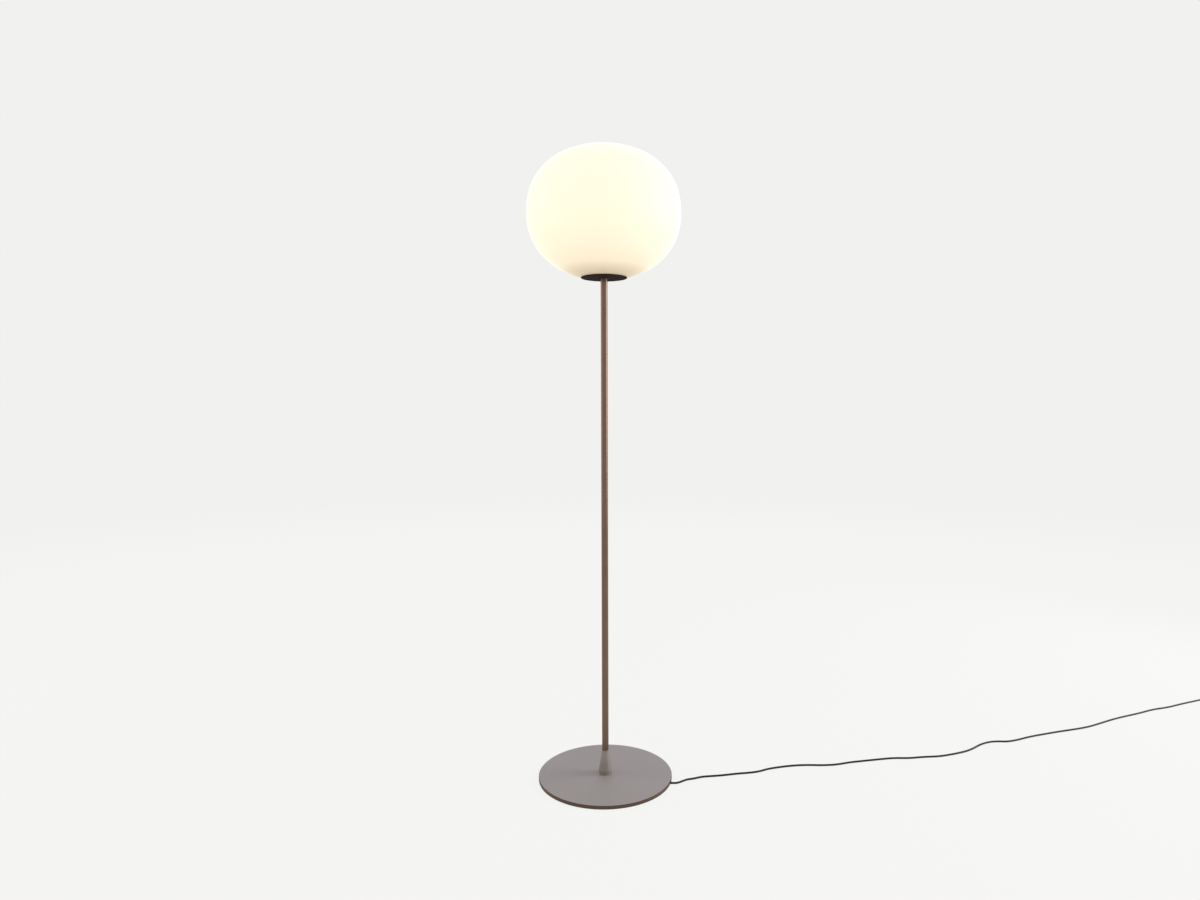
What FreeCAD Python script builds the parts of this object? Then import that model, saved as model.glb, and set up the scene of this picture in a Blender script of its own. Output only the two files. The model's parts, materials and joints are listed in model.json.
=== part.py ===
"""Globe floor lamp: a lit opal globe on a thin stem and a flat round base, with its mains lead.

Millimetres, +Z up. The origin is on the floor, on the stem's axis. +X is to the right and +Y away from
someone who faces the lamp. Every sub-part is an object of one document and takes its sizes from the
sheet "sizes"; each is written to parts/ under its own label.
"""
import FreeCAD, Part
import math
import os

import Sketcher
from FreeCAD import Placement, Rotation, Vector

# ---------------------------------------------------------------- driving sizes (mm, degrees, counts)
SIZES = {
    # base
    "base_d": 295.0,             # steel base, seen from above
    "base_t": 7.5,
    "base_edge": 0.7,            # chamfer on the base's upper edge
    "pad_t": 0.7,                # non-slip pad under it
    "pad_inset": 4.0,
    # cable way in the base
    "exit_angle": -15.0,         # direction in which the cord leaves, from +X
    "cord_d": 4.4,
    "cord_gap": 0.3,             # free play of the lead in its ways, each side
    "exit_rise": 3.9,            # height of the lead's centre in the base
    "lead_bend": 5.5,            # radius in which the lead turns up into the stem
    "cable_hole_d": 10.0,
    "lead_bare": 1.0,            # end of the lead's sheath above the nipple
    # bushing
    "bushing_d": 6.2,
    "bushing_tip_d": 5.3,
    "bushing_in": 18.5,          # length inside the base
    "bushing_out": 2.5,          # length that shows
    "bushing_gap": 0.2,
    "flange_t": 2.5,
    "flange_w": 10.0,
    "flange_back": 3.0,          # from the bushing's inner end to its flange
    # collar
    "collar_foot_d": 28.4,
    "collar_top_d": 16.4,
    "collar_skirt": 9.0,         # straight part above the foot
    "collar_cone": 41.0,         # height of the tapered part
    "collar_lip": 4.0,
    "collar_edge": 0.5,          # chamfer on the lip
    "collar_seat": 6.0,          # thickness of the collar's floor, under the stem
    "collar_cable_d": 9.0,
    "screw_d": 4.0,
    "screw_head_d": 8.0,
    "screw_length": 12.0,
    "screw_circle_d": 18.6,
    "screw_cover": 0.4,          # of the collar's floor left above the screw holes
    "screw_count": 3,
    "grub_rise": 18.0,           # above the collar's foot
    "grub_length": 4.0,
    "hex_key": 2.0,              # hexagon socket of the grub screw
    # stem
    "stem_d": 14.5,
    "stem_wall": 1.5,
    "fit_gap": 0.05,             # seats that are pushed or screwed together, each side
    "insert_length": 16.0,
    # head
    "plate_rise": 1088.4,        # underside of the support plate above the floor
    "plate_d": 97.2,
    "plate_t": 1.5,
    "plate_edge": 0.5,
    "gasket_t": 0.5,
    "gasket_w": 3.7,
    "nipple_d": 10.0,
    "nipple_bore": 7.5,
    "nipple_below": 12.0,        # thread below the plate
    "nipple_above": 13.5,        # thread above the plate
    "washer_d": 18.0,
    "washer_t": 1.0,
    "nut_flats": 14.0,
    "nut_t": 3.2,
    # leaf springs that centre the glass
    "spring_count": 3,
    "spring_t": 0.5,
    "spring_w": 9.0,
    "spring_rise": 16.0,
    "spring_heel": 4.5,          # behind the rivet
    "spring_bow": 3.0,           # how far the leaf bulges out of its foot's line
    "spring_bow_low": 3.2,       # height at which the bulge starts
    "spring_bow_peak": 8.8,      # and at which it is widest
    "spring_play": 0.7,          # to the glass
    "rivet_d": 3.0,
    "rivet_head_d": 5.5,
    "rivet_head_t": 1.0,
    "rivet_circle_d": 62.0,
    # lampholder, E27
    "holder_d": 39.0,
    "holder_wall": 2.2,
    "holder_land": 4.0,          # flat ring round the nipple's hole
    "holder_floor": 6.2,         # thickness at that hole
    "holder_edge": 1.0,          # chamfer on the skirt's rim
    "holder_cap_h": 22.0,
    "holder_skirt_h": 36.0,
    "holder_lap": 4.0,           # how far the skirt reaches into the cap
    "holder_insert_t": 8.0,
    "terminal_d": 2.6,
    "terminal_circle_d": 18.0,
    "terminal_slot": 0.6,
    "terminal_grip": 0.5,        # from a core's end to its screw
    "contact_h": 3.0,            # centre contact, a bent strip that the bulb's tip stands on
    "contact_l": 9.5,
    "contact_back": 3.2,         # from its rear edge to the bulb's axis
    "contact_w": 5.0,
    "contact_t": 0.5,
    "core_d": 2.0,
    "core_part": 0.25,           # share of the way to the skirt at which the two cores part
    "core_apart": 0.6,           # and at which they are as far apart as their terminals
    "sleeve_wall": 0.6,
    "sleeve_length": 25.0,
    # bulb
    "bulb_cap_d": 26.0,
    "bulb_cap_h": 22.0,
    "bulb_play": 0.35,           # cap to screw shell, each side
    "bulb_tip_d": 9.5,
    "bulb_tip_h": 1.6,
    "bulb_insulator_h": 3.4,
    "bulb_d": 60.0,
    "bulb_length": 105.0,
    "bulb_wall": 1.0,
    "bulb_edge": 1.0,            # bevels of the tip and the cap
    "bulb_neck_in": 0.5,         # the neck starts this far inside the cap's radius
    "bulb_neck_out": 1.0,        # and ends this far outside it
    "bulb_shoulder": 22.0,       # from the ball's centre down to where its neck starts
    "bulb_neck_h": 6.0,
    "bulb_neck_r": 120.0,        # hollow curve of the neck
    # globe
    "globe_d": 320.0,
    "globe_crown": 133.0,        # widest level to the top
    "globe_belly": 131.0,        # widest level to where the lower curve would close
    "globe_wall": 2.8,
    "crown_power": 2.27,         # 2 gives an ellipse, more gives squarer shoulders
    "belly_power": 2.15,
    "mouth_d": 87.0,             # opening at the bottom
    "mouth_land": 3.0,           # width of the ground ring that the glass stands on
    # cord on the floor
    "floor_gap": 0.1,            # under everything that lies loose on the floor
    # coil
    "coil_turns": 4.0,
    "coil_outer_r": 30.5,        # centre line of its outer turn
    "coil_pitch": 4.95,          # from turn to turn and from layer to layer
    "coil_start": -30.0,         # direction of its first point from its centre
    "tie_t": 0.6,
    "tie_round": 1.2,            # outer radius of its corners
    "tie_w": 6.0,
    "tie_gap": 0.3,
    "tie_angle": 130.0,
    # foot switch
    "switch_x": 1720.0,
    "switch_y": 335.0,
    "switch_turn": -118.0,       # direction in which the cord runs through it
    "switch_d": 60.0,
    "switch_wall": 1.8,
    "switch_base_h": 9.0,
    "switch_cover_h": 13.0,
    "switch_cord_z": 6.5,
    "switch_gland_l": 5.0,       # how far its cord sleeves reach in
    "button_d": 27.0,
    "button_rise": 4.5,          # above the cover
    "button_travel": 3.5,
    "button_gap": 0.35,
    "button_skirt": 2.0,         # how high its straight side stands out of the cover
    "button_flange_t": 1.2,      # keeps it under the cover
    "button_flange_w": 2.0,
    "plunger_d": 6.0,
    "plunger_in": 2.0,           # in the module at rest
    "module_w": 14.0,
    "module_h": 10.0,
    "switch_round": 8.0,         # radius of the cover's shoulder
    "switch_edge": 1.0,          # chamfer on the lower edge
    "switch_screw_d": 3.0,
    "switch_screw_l": 15.0,
    "switch_head_d": 5.4,
    "switch_head_h": 2.2,
    "switch_head_gap": 0.1,      # round the head in its sink
    "switch_slot": 0.8,          # width and depth of the slot in a screw's head
    "switch_screw_at": 15.5,     # from the switch's centre, along and across the cord
    "switch_screw_count": 4,
    "switch_boss_d": 7.4,
    "core_straight": 6.0,        # of the two cores beyond the cord's sheath
    # plug
    "plug_w": 35.0,
    "plug_t": 13.7,
    "plug_length": 33.0,
    "plug_taper": 12.0,          # length over which it widens
    "plug_nose": 21.0,           # width at its cord end
    "plug_round": 2.5,
    "plug_root": 3.5,            # how far the cord sleeve reaches into the body
    "sleeve_root_d": 10.0,
    "sleeve_tip_d": 6.4,
    "plug_sleeve_l": 24.0,
    "pin_d": 4.0,
    "pin_edge": 0.65,            # chamfer on its end
    "pin_length": 19.0,
    "pin_spacing": 18.6,
    "pin_root": 8.0,
    "pin_core_d": 3.0,
    "pin_sleeve_d": 3.8,
    "pin_sleeve_l": 10.0,
}

# Sizes that follow from the ones above, kept in the same sheet as formulas.
DERIVED = {
    "base_r": "base_d / 2",
    "base_top": "pad_t + base_t",
    "cord_r": "cord_d / 2",
    "way_w": "cord_d + 2 * cord_gap",
    "way_top": "exit_rise + cord_r + cord_gap / 2",
    "bushing_way_w": "bushing_d + 2 * bushing_gap",
    "bushing_way_top": "exit_rise + bushing_d / 2 + bushing_gap",
    "bushing_start": "base_r - bushing_in",
    "bushing_end": "base_r + bushing_out",
    "seat_top": "base_top + collar_seat",
    "collar_h": "collar_skirt + collar_cone + collar_lip",
    "stem_r": "stem_d / 2",
    "stem_bore_r": "stem_d / 2 - stem_wall",
    "stem_length": "plate_rise - seat_top",
    "plate_top": "plate_rise + plate_t",
    "gasket_top": "plate_top + gasket_t",
    "washer_top": "plate_top + washer_t",
    "nut_top": "washer_top + nut_t",
    "holder_base": "nut_top + floor_gap",
    "holder_r": "holder_d / 2",
    "holder_land_r": "nipple_d / 2 + holder_land",
    "holder_round": "holder_r - holder_land_r",
    "skirt_base": "holder_base + holder_cap_h - holder_lap",
    "insert_top": "skirt_base + holder_insert_t",
    "lead_top": "plate_top + nipple_above + lead_bare",
    "bulb_base": "insert_top + contact_h",
    "cap_base": "bulb_base + bulb_tip_h + bulb_insulator_h",
    "cap_top": "cap_base + bulb_cap_h",
    "bulb_cap_r": "bulb_cap_d / 2",
    "sleeve_bore_r": "bulb_cap_r + bulb_play",
    "globe_r": "globe_d / 2",
    "mouth_r": "mouth_d / 2",
    "land_r": "mouth_r + mouth_land",
    "mouth_drop": "globe_belly * pow(1 - pow(land_r / globe_r; belly_power); 1 / belly_power)",
    "globe_level": "gasket_top + mouth_drop",
    "cord_level": "cord_r + floor_gap",
    "coil_level": "cord_r + tie_t + tie_gap + floor_gap",
    "switch_r": "switch_d / 2",
    "switch_top": "switch_base_h + switch_cover_h",
    "module_top": "switch_wall + module_h",
    "flange_rise": "switch_cover_h - switch_wall - floor_gap",
    "button_dome": "button_rise - button_skirt",
    "button_crown_r": "(pow(button_d / 2; 2) + pow(button_dome; 2)) / (2 * button_dome)",
    "plug_level": "plug_t / 2 + floor_gap",
    "plug_front": "plug_sleeve_l + plug_length",
}

# ---------------------------------------------------------------- the cord's route
# Points chosen by hand, as (x, y, height). The route starts at the bushing's tip and ends inside the
# foot switch, and both of those points follow from the sheet. LYING is the height of a cord on the floor.
LYING = None
RUN_ROUTE = [
    (154.1, -41.3, 3.85), (163.6, -39.9, 3.4), (173.5, -35.1, 2.8), (190.5, -22.3, LYING),
    (212, -10.5, LYING), (235, -4, LYING), (262, 0, LYING), (292, 7.5, LYING), (325, 12.5, LYING),
    (347, 19, LYING), (367, 31, LYING), (392, 39, LYING), (420, 46.5, LYING), (457, 51, LYING),
    (497, 49, LYING), (529, 52.5, LYING), (561, 64, LYING), (598, 72, LYING), (638, 80.5, LYING),
    (672, 87, LYING), (707, 85.5, LYING), (742, 92.5, LYING), (781, 95, LYING), (818, 107, LYING),
    (855, 122, LYING), (880, 138.5, LYING), (906, 160.5, LYING), (933, 175, LYING),
    (957, 179, LYING), (979, 176.5, LYING), (1010, 187, LYING), (1048, 205.5, LYING),
    (1092, 221, LYING), (1142, 238, LYING), (1190, 252, LYING), (1232, 267, LYING),
    (1272, 288, LYING), (1318, 313, LYING), (1364, 334, LYING), (1420, 357, LYING),
    (1470, 382, LYING), (1522, 397, LYING), (1576, 422, LYING), (1630, 444, LYING),
    (1668, 460, LYING), (1704, 463, LYING), (1737, 449, 2.6), (1753, 417, 4.4),
    (1745.3, 382.7, 6.5),
]
TAIL_STEPS = [(20, -118), (24, -132)]      # (length, direction) from the switch towards the coil
END_STEPS = [(20, -126), (18, -132)]       # the same, beyond the coil's first run towards the plug
COIL_RUN = 20.0                            # run beside the coil, on both sides of it
ARC_SHARE = 0.45                           # part of the shorter run that an arc takes on each side
COIL_SAMPLES = 400                         # points on which the coil's gap to itself is measured
MERIDIAN_STEPS = 10                        # points on each of the globe's two curves

doc = FreeCAD.newDocument("GlobeFloorLamp")
sheet = doc.addObject("Spreadsheet::Sheet", "sizes")


def fill_sheet():
    """Write every size into the sheet, one row each, under its own alias."""
    rows = [(alias, str(value)) for alias, value in SIZES.items()]
    rows += [(alias, "=" + formula) for alias, formula in DERIVED.items()]
    for number, (alias, content) in enumerate(rows, start=1):
        sheet.set("A%d" % number, alias)
        sheet.set("B%d" % number, content)
        sheet.setAlias("B%d" % number, alias)
    doc.recompute()


def size(alias):
    """One size, read from the sheet."""
    return float(sheet.get(alias))


def bound(expression):
    """The same expression with every alias pointed at the sheet."""
    words = []
    word = ""
    for letter in expression + " ":
        if letter.isalnum() or letter == "_":
            word += letter
            continue
        known = word in SIZES or word in DERIVED
        words.append(("sizes." + word if known else word) + letter)
        word = ""
    return "".join(words).strip()


def value_of(expression):
    """The number that an expression over the sheet's aliases gives now."""
    return float(sheet.evalExpression(bound(expression)))


# ---------------------------------------------------------------- sketches and bodies
def new_body(label, base="0", turned="0"):
    """A body that stands at a height and is turned about the lamp's axis."""
    body = doc.addObject("PartDesign::Body", label)
    body.Label = label
    body.setExpression("Placement.Base.z", bound(base))
    body.setExpression("Placement.Rotation.Angle", bound(turned))
    return body


def new_sketch(body, role, height="0"):
    """A sketch on one of the body's own origin planes, lifted off it by a height."""
    sketch = body.newObject("Sketcher::SketchObject", "sketch")
    plane = next(feature for feature in body.Origin.OriginFeatures if feature.Role == role)
    sketch.AttachmentSupport = [(plane, "")]
    sketch.MapMode = "FlatFace"
    sketch.setExpression("AttachmentOffset.Base.z", bound(height))
    return sketch


def pin_point(sketch, geometry, end, x, y):
    """Hold one point of a sketch at x, y, given as expressions."""
    for kind, expression, axis in (("DistanceX", x, -2), ("DistanceY", y, -1)):
        value = value_of(expression)
        if expression == "0":
            sketch.addConstraint(Sketcher.Constraint("PointOnObject", geometry, end, axis))
            continue
        index = sketch.addConstraint(Sketcher.Constraint(kind, -1, 1, geometry, end, value))
        sketch.setExpression("Constraints[%d]" % index, bound(expression))


def add_arc(sketch, start, end, radius):
    """An arc of under half a turn. A positive radius has its centre to the left of the way.

    Returns its index in the sketch and the numbers of the ends that it starts and stops at.
    """
    chord = end - start
    left = Vector(-chord.y, chord.x, 0).normalize()
    reach = math.sqrt(radius ** 2 - (chord.Length / 2) ** 2)
    centre = (start + end) / 2 + left * math.copysign(reach, radius)
    low, high = (start, end) if radius > 0 else (end, start)
    low_angle = math.atan2(low.y - centre.y, low.x - centre.x)
    high_angle = math.atan2(high.y - centre.y, high.x - centre.x)
    if high_angle < low_angle:
        high_angle += 2 * math.pi
    circle = Part.Circle(centre, Vector(0, 0, 1), abs(radius))
    index = sketch.addGeometry(Part.ArcOfCircle(circle, low_angle, high_angle), False)
    return (index, 1, 2) if radius > 0 else (index, 2, 1)


def draw_outline(sketch, path):
    """A closed outline. (x, y) is a straight side to that corner, (x, y, radius) an arc to it."""
    corners = [Vector(value_of(step[0]), value_of(step[1]), 0) for step in path]
    ends = []
    for number, step in enumerate(path):
        start = corners[number - 1]
        if len(step) == 2:
            index = sketch.addGeometry(Part.LineSegment(start, corners[number]), False)
            ends.append((index, 1, 2))
            continue
        radius = value_of(step[2])
        ends.append(add_arc(sketch, start, corners[number], radius))
        index = ends[-1][0]
        held = sketch.addConstraint(Sketcher.Constraint("Radius", index, abs(radius)))
        sign = "" if radius > 0 else "-"
        sketch.setExpression("Constraints[%d]" % held, bound("%s(%s)" % (sign, step[2])))
    for number, step in enumerate(path):
        index, _, last = ends[number]
        follower, first, _ = ends[(number + 1) % len(path)]
        sketch.addConstraint(Sketcher.Constraint("Coincident", index, last, follower, first))
        pin_point(sketch, index, last, step[0], step[1])


def draw_circle(sketch, diameter, x="0", y="0"):
    """A circle whose diameter and centre are expressions."""
    centre = Vector(value_of(x), value_of(y), 0)
    radius = value_of(diameter) / 2
    index = sketch.addGeometry(Part.Circle(centre, Vector(0, 0, 1), radius), False)
    held = sketch.addConstraint(Sketcher.Constraint("Diameter", index, 2 * radius))
    sketch.setExpression("Constraints[%d]" % held, bound(diameter))
    pin_point(sketch, index, 3, x, y)


def draw_box(sketch, low_x, high_x, width):
    """A rectangle from low_x to high_x, centred on the sketch's X axis."""
    half = "(%s) / 2" % width
    draw_outline(sketch, [(low_x, "-" + half), (high_x, "-" + half), (high_x, half), (low_x, half)])


def pad(body, sketch, length):
    """Material upwards from the sketch."""
    feature = body.newObject("PartDesign::Pad", "pad")
    feature.Profile = sketch
    feature.setExpression("Length", bound(length))
    sketch.Visibility = False
    return feature


def pocket(body, sketch, length, upwards=True, both_ways=False):
    """A cut from the sketch, upwards or downwards. It has to take something away."""
    doc.recompute()
    before = body.Shape.Volume
    feature = body.newObject("PartDesign::Pocket", "pocket")
    feature.Profile = sketch
    feature.Reversed = upwards
    feature.Midplane = both_ways
    feature.setExpression("Length", bound(length))
    doc.recompute()
    if body.Shape.Volume > before - 1e-3:
        raise RuntimeError("%s: a pocket cuts nothing" % body.Label)
    return feature


def turn(body, sketch, axis="V_Axis"):
    """The sketch turned once round its own vertical or horizontal axis."""
    feature = body.newObject("PartDesign::Revolution", "turn")
    feature.Profile = sketch
    feature.ReferenceAxis = (sketch, [axis])
    feature.Angle = 360
    return feature


def ring_pattern(body, feature, count):
    """Copies of a feature round the body's Z axis."""
    axis = next(item for item in body.Origin.OriginFeatures if item.Role == "Z_Axis")
    pattern = body.newObject("PartDesign::PolarPattern", "pattern")
    pattern.Originals = [feature]
    pattern.Axis = (axis, [""])
    pattern.Angle = 360
    pattern.setExpression("Occurrences", bound(count))
    body.Tip = pattern
    return pattern


def ring_edges(shape, radius, level):
    """Names of the circular edges of one radius at one level."""
    names = []
    for number, edge in enumerate(shape.Edges, start=1):
        curve = edge.Curve
        if not isinstance(curve, Part.Circle):
            continue
        if abs(curve.Radius - radius) < 1e-4 and abs(curve.Center.z - level) < 1e-4:
            names.append("Edge%d" % number)
    if not names:
        raise RuntimeError("no edge of radius %g at level %g" % (radius, level))
    return names


def dress(body, kind, names, amount):
    """A chamfer or fillet on named edges of the body's last feature."""
    doc.recompute()
    last = body.Tip
    feature = body.newObject("PartDesign::" + kind, kind.lower())
    feature.Base = (last, names)
    feature.setExpression("Size" if kind == "Chamfer" else "Radius", bound(amount))
    doc.recompute()
    return feature


def turned_body(label, path, base="0", turned="0"):
    """A body made by turning one closed outline of (radius, height) corners about the lamp's axis."""
    body = new_body(label, base, turned)
    sketch = new_sketch(body, "XZ_Plane")
    draw_outline(sketch, path)
    turn(body, sketch)
    return body


def ring_body(label, outer_d, inner_d, length, base):
    """A plain tube or ring on the lamp's axis."""
    body = new_body(label, base)
    sketch = new_sketch(body, "XY_Plane")
    draw_circle(sketch, outer_d)
    draw_circle(sketch, inner_d)
    pad(body, sketch, length)
    return body


def shape_part(label, shape, placement=None):
    """A sub-part whose shape comes from Part's own functions."""
    feature = doc.addObject("Part::Feature", label)
    feature.Label = label
    own = shape.Placement
    feature.Shape = shape
    feature.Placement = own if placement is None else placement.multiply(own)
    return feature


def round_axis(shape, count, start=0.0):
    """A group of copies of a shape, evenly round the lamp's axis."""
    copies = []
    for number in range(int(round(count))):
        copy = shape.copy()
        copy.rotate(Vector(0, 0, 0), Vector(0, 0, 1), start + 360.0 * number / count)
        copies.append(copy)
    return Part.makeCompound(copies)


# ---------------------------------------------------------------- base
def make_base_pad():
    body = new_body("base_pad")
    disc = new_sketch(body, "XY_Plane")
    draw_circle(disc, "base_d - 2 * pad_inset")
    pad(body, disc, "pad_t")


def make_base_plate():
    body = new_body("base_plate", "pad_t", "exit_angle")
    disc = new_sketch(body, "XY_Plane")
    draw_circle(disc, "base_d")
    pad(body, disc, "base_t")
    doc.recompute()
    dress(body, "Chamfer", ring_edges(body.Shape, size("base_r"), size("base_top")), "base_edge")
    channel = new_sketch(body, "XY_Plane")
    draw_box(channel, "-way_w / 2", "base_r", "way_w")
    pocket(body, channel, "way_top - pad_t")
    bushing = new_sketch(body, "XY_Plane")
    draw_box(bushing, "bushing_start - bushing_gap", "base_r", "bushing_way_w")
    pocket(body, bushing, "bushing_way_top - pad_t")
    flange = new_sketch(body, "XY_Plane")
    flange_at = "bushing_start + flange_back"
    draw_box(flange, flange_at + " - bushing_gap", flange_at + " + flange_t + bushing_gap",
             "flange_w + 2 * bushing_gap")
    pocket(body, flange, "bushing_way_top - pad_t")
    cable = new_sketch(body, "XY_Plane")
    draw_circle(cable, "cable_hole_d")
    pocket(body, cable, "base_t")
    hole = new_sketch(body, "XY_Plane")
    draw_circle(hole, "screw_d + 2 * fit_gap", "-screw_circle_d / 2")
    ring_pattern(body, pocket(body, hole, "base_t"), "screw_count")
    sink = new_sketch(body, "XZ_Plane")
    head_r = "(screw_head_d / 2 + 2 * fit_gap)"
    axis_x = "-screw_circle_d / 2"
    draw_outline(sink, [(axis_x, "0"), (axis_x + " + " + head_r, "0"), (axis_x, head_r)])
    axis = Part.LineSegment(Vector(value_of(axis_x), 0, 0), Vector(value_of(axis_x), 5, 0))
    index = sink.addGeometry(axis, True)
    pin_point(sink, index, 1, axis_x, "0")
    sink.addConstraint(Sketcher.Constraint("Vertical", index))
    doc.recompute()
    groove = body.newObject("PartDesign::Groove", "countersink")
    groove.Profile = sink
    groove.ReferenceAxis = (sink, ["Axis0"])
    groove.Angle = 360
    ring_pattern(body, groove, "screw_count")


def make_cord_bushing():
    body = new_body("cord_bushing", "exit_rise", "exit_angle")
    sleeve = new_sketch(body, "XZ_Plane")
    draw_outline(sleeve, [("bushing_start", "0"), ("bushing_start", "bushing_d / 2"),
                          ("base_r", "bushing_d / 2"), ("bushing_end", "bushing_tip_d / 2"),
                          ("bushing_end", "0")])
    turn(body, sleeve, "H_Axis")
    flange = new_sketch(body, "XY_Plane", "-bushing_d / 2")
    flange_at = "bushing_start + flange_back"
    draw_box(flange, flange_at, flange_at + " + flange_t", "flange_w")
    pad(body, flange, "bushing_d")
    doc.recompute()
    bore = new_sketch(body, "YZ_Plane", "bushing_start")
    draw_circle(bore, "cord_d + 2 * fit_gap")
    pocket(body, bore, "bushing_in + bushing_out")


# ---------------------------------------------------------------- collar and stem
def make_stem_collar():
    foot_r = "collar_foot_d / 2"
    top_r = "collar_top_d / 2"
    bore_r = "stem_r + fit_gap"
    path = [
        ("collar_cable_d / 2", "0"), (foot_r, "0"), (foot_r, "collar_skirt"),
        (top_r, "collar_skirt + collar_cone"),
        (top_r, "collar_h - collar_edge"), (top_r + " - collar_edge", "collar_h"), (bore_r, "collar_h"),
        (bore_r, "collar_seat"), ("collar_cable_d / 2", "collar_seat"),
    ]
    body = turned_body("stem_collar", path, "base_top", "exit_angle")
    doc.recompute()
    hole = new_sketch(body, "XY_Plane")
    draw_circle(hole, "screw_d + 2 * fit_gap", "-screw_circle_d / 2")
    ring_pattern(body, pocket(body, hole, "collar_seat - screw_cover"), "screw_count")
    grub = new_sketch(body, "XZ_Plane", "-collar_foot_d / 2")
    draw_circle(grub, "screw_d + 2 * fit_gap", "0", "grub_rise")
    pocket(body, grub, "collar_foot_d / 2 - stem_r")


def hexagon_prism(flats, length):
    """A hexagonal prism along +Z, on its centre."""
    corner = flats / math.sqrt(3)
    points = [Vector(corner * math.cos(math.radians(60 * n)), corner * math.sin(math.radians(60 * n)), 0)
              for n in range(7)]
    return Part.Face(Part.makePolygon(points)).extrude(Vector(0, 0, length))


def countersunk_screw(shank_d, head_d, length, key):
    """A 90 degree countersunk screw, head down at z = 0, shank along +Z."""
    rise = (head_d - shank_d) / 2
    head = Part.makeCone(head_d / 2, shank_d / 2, rise)
    shank = Part.makeCylinder(shank_d / 2, length - rise, Vector(0, 0, rise))
    return head.fuse(shank).removeSplitter().cut(hexagon_prism(key, rise))


def make_collar_screws():
    screw = countersunk_screw(size("screw_d"), size("screw_head_d"), size("screw_length"), size("hex_key"))
    screw.translate(Vector(-size("screw_circle_d") / 2, 0, 0))
    turned = Rotation(Vector(0, 0, 1), size("exit_angle"))
    shape_part("collar_screws", round_axis(screw, size("screw_count")),
               Placement(Vector(0, 0, size("pad_t")), turned))


def make_grub_screw():
    screw = Part.makeCylinder(size("screw_d") / 2, size("grub_length"))
    socket = hexagon_prism(size("hex_key"), size("grub_length") / 2)
    socket.translate(Vector(0, 0, size("grub_length") / 2))
    screw = screw.cut(socket)
    screw.rotate(Vector(0, 0, 0), Vector(1, 0, 0), -90)
    screw.translate(Vector(0, size("stem_r") + size("fit_gap"), 0))
    shape_part("collar_grub_screw", screw,
               Placement(Vector(0, 0, size("base_top") + size("grub_rise")),
                         Rotation(Vector(0, 0, 1), size("exit_angle"))))


def make_stem():
    ring_body("stem_tube", "stem_d", "2 * stem_bore_r", "stem_length", "seat_top")
    ring_body("stem_insert", "2 * (stem_bore_r - fit_gap / 2)", "nipple_d + fit_gap",
              "insert_length", "plate_rise - insert_length")


# ---------------------------------------------------------------- head
def make_support_plate():
    path = [
        ("nipple_d / 2 + fit_gap", "0"),
        ("plate_d / 2 - plate_edge", "0"),
        ("plate_d / 2", "plate_edge"),
        ("plate_d / 2", "plate_t - plate_edge"),
        ("plate_d / 2 - plate_edge", "plate_t"),
        ("nipple_d / 2 + fit_gap", "plate_t"),
    ]
    body = turned_body("support_plate", path, "plate_rise")
    doc.recompute()
    hole = new_sketch(body, "XY_Plane")
    draw_circle(hole, "rivet_d + 2 * fit_gap", "rivet_circle_d / 2")
    ring_pattern(body, pocket(body, hole, "plate_t"), "spring_count")


def make_head_fasteners():
    ring_body("head_nipple", "nipple_d", "nipple_bore", "nipple_below + plate_t + nipple_above",
              "plate_rise - nipple_below")
    ring_body("head_washer", "washer_d", "nipple_d + fit_gap", "washer_t", "plate_top")
    nut = hexagon_prism(size("nut_flats"), size("nut_t"))
    bore = Part.makeCylinder(size("nipple_d") / 2 + size("fit_gap") / 2, size("nut_t"))
    shape_part("head_nut", nut.cut(bore), Placement(Vector(0, 0, size("washer_top")), Rotation()))


def make_gasket():
    ring_body("globe_gasket", "2 * (mouth_r + gasket_w)", "mouth_d", "gasket_t", "plate_top")


def make_springs():
    """Leaf springs: a foot on the plate, then a leaf that rises and bulges towards the glass."""
    thick = size("spring_t")
    width = size("spring_w")
    rise = size("spring_rise")
    rivet_r = size("rivet_circle_d") / 2
    heel = rivet_r - size("spring_heel")
    reach = size("mouth_r") - size("spring_play")
    wall = reach - size("spring_bow")
    outline = [
        (heel, 0), (wall, 0), (wall, size("spring_bow_low")), (reach, size("spring_bow_peak")), (wall, rise),
        (wall - thick, rise), (reach - thick, size("spring_bow_peak")),
        (wall - thick, size("spring_bow_low")), (wall - thick, thick), (heel, thick), (heel, 0),
    ]
    face = Part.Face(Part.makePolygon([Vector(x, -width / 2, z) for x, z in outline]))
    leaf = face.extrude(Vector(0, width, 0))
    hole = Part.makeCylinder(size("rivet_d") / 2 + size("fit_gap"), thick, Vector(rivet_r, 0, 0))
    leaf = leaf.cut(hole)
    level = Placement(Vector(0, 0, size("plate_top")), Rotation())
    shape_part("globe_springs", round_axis(leaf, size("spring_count")), level)
    head_t = size("rivet_head_t")
    shank = Part.makeCylinder(size("rivet_d") / 2, size("plate_t") + thick,
                              Vector(rivet_r, 0, -size("plate_t")))
    head = Part.makeCylinder(size("rivet_head_d") / 2, head_t, Vector(rivet_r, 0, thick))
    rivet = shank.fuse(head).removeSplitter()
    shape_part("spring_rivets", round_axis(rivet, size("spring_count")), level)


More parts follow.
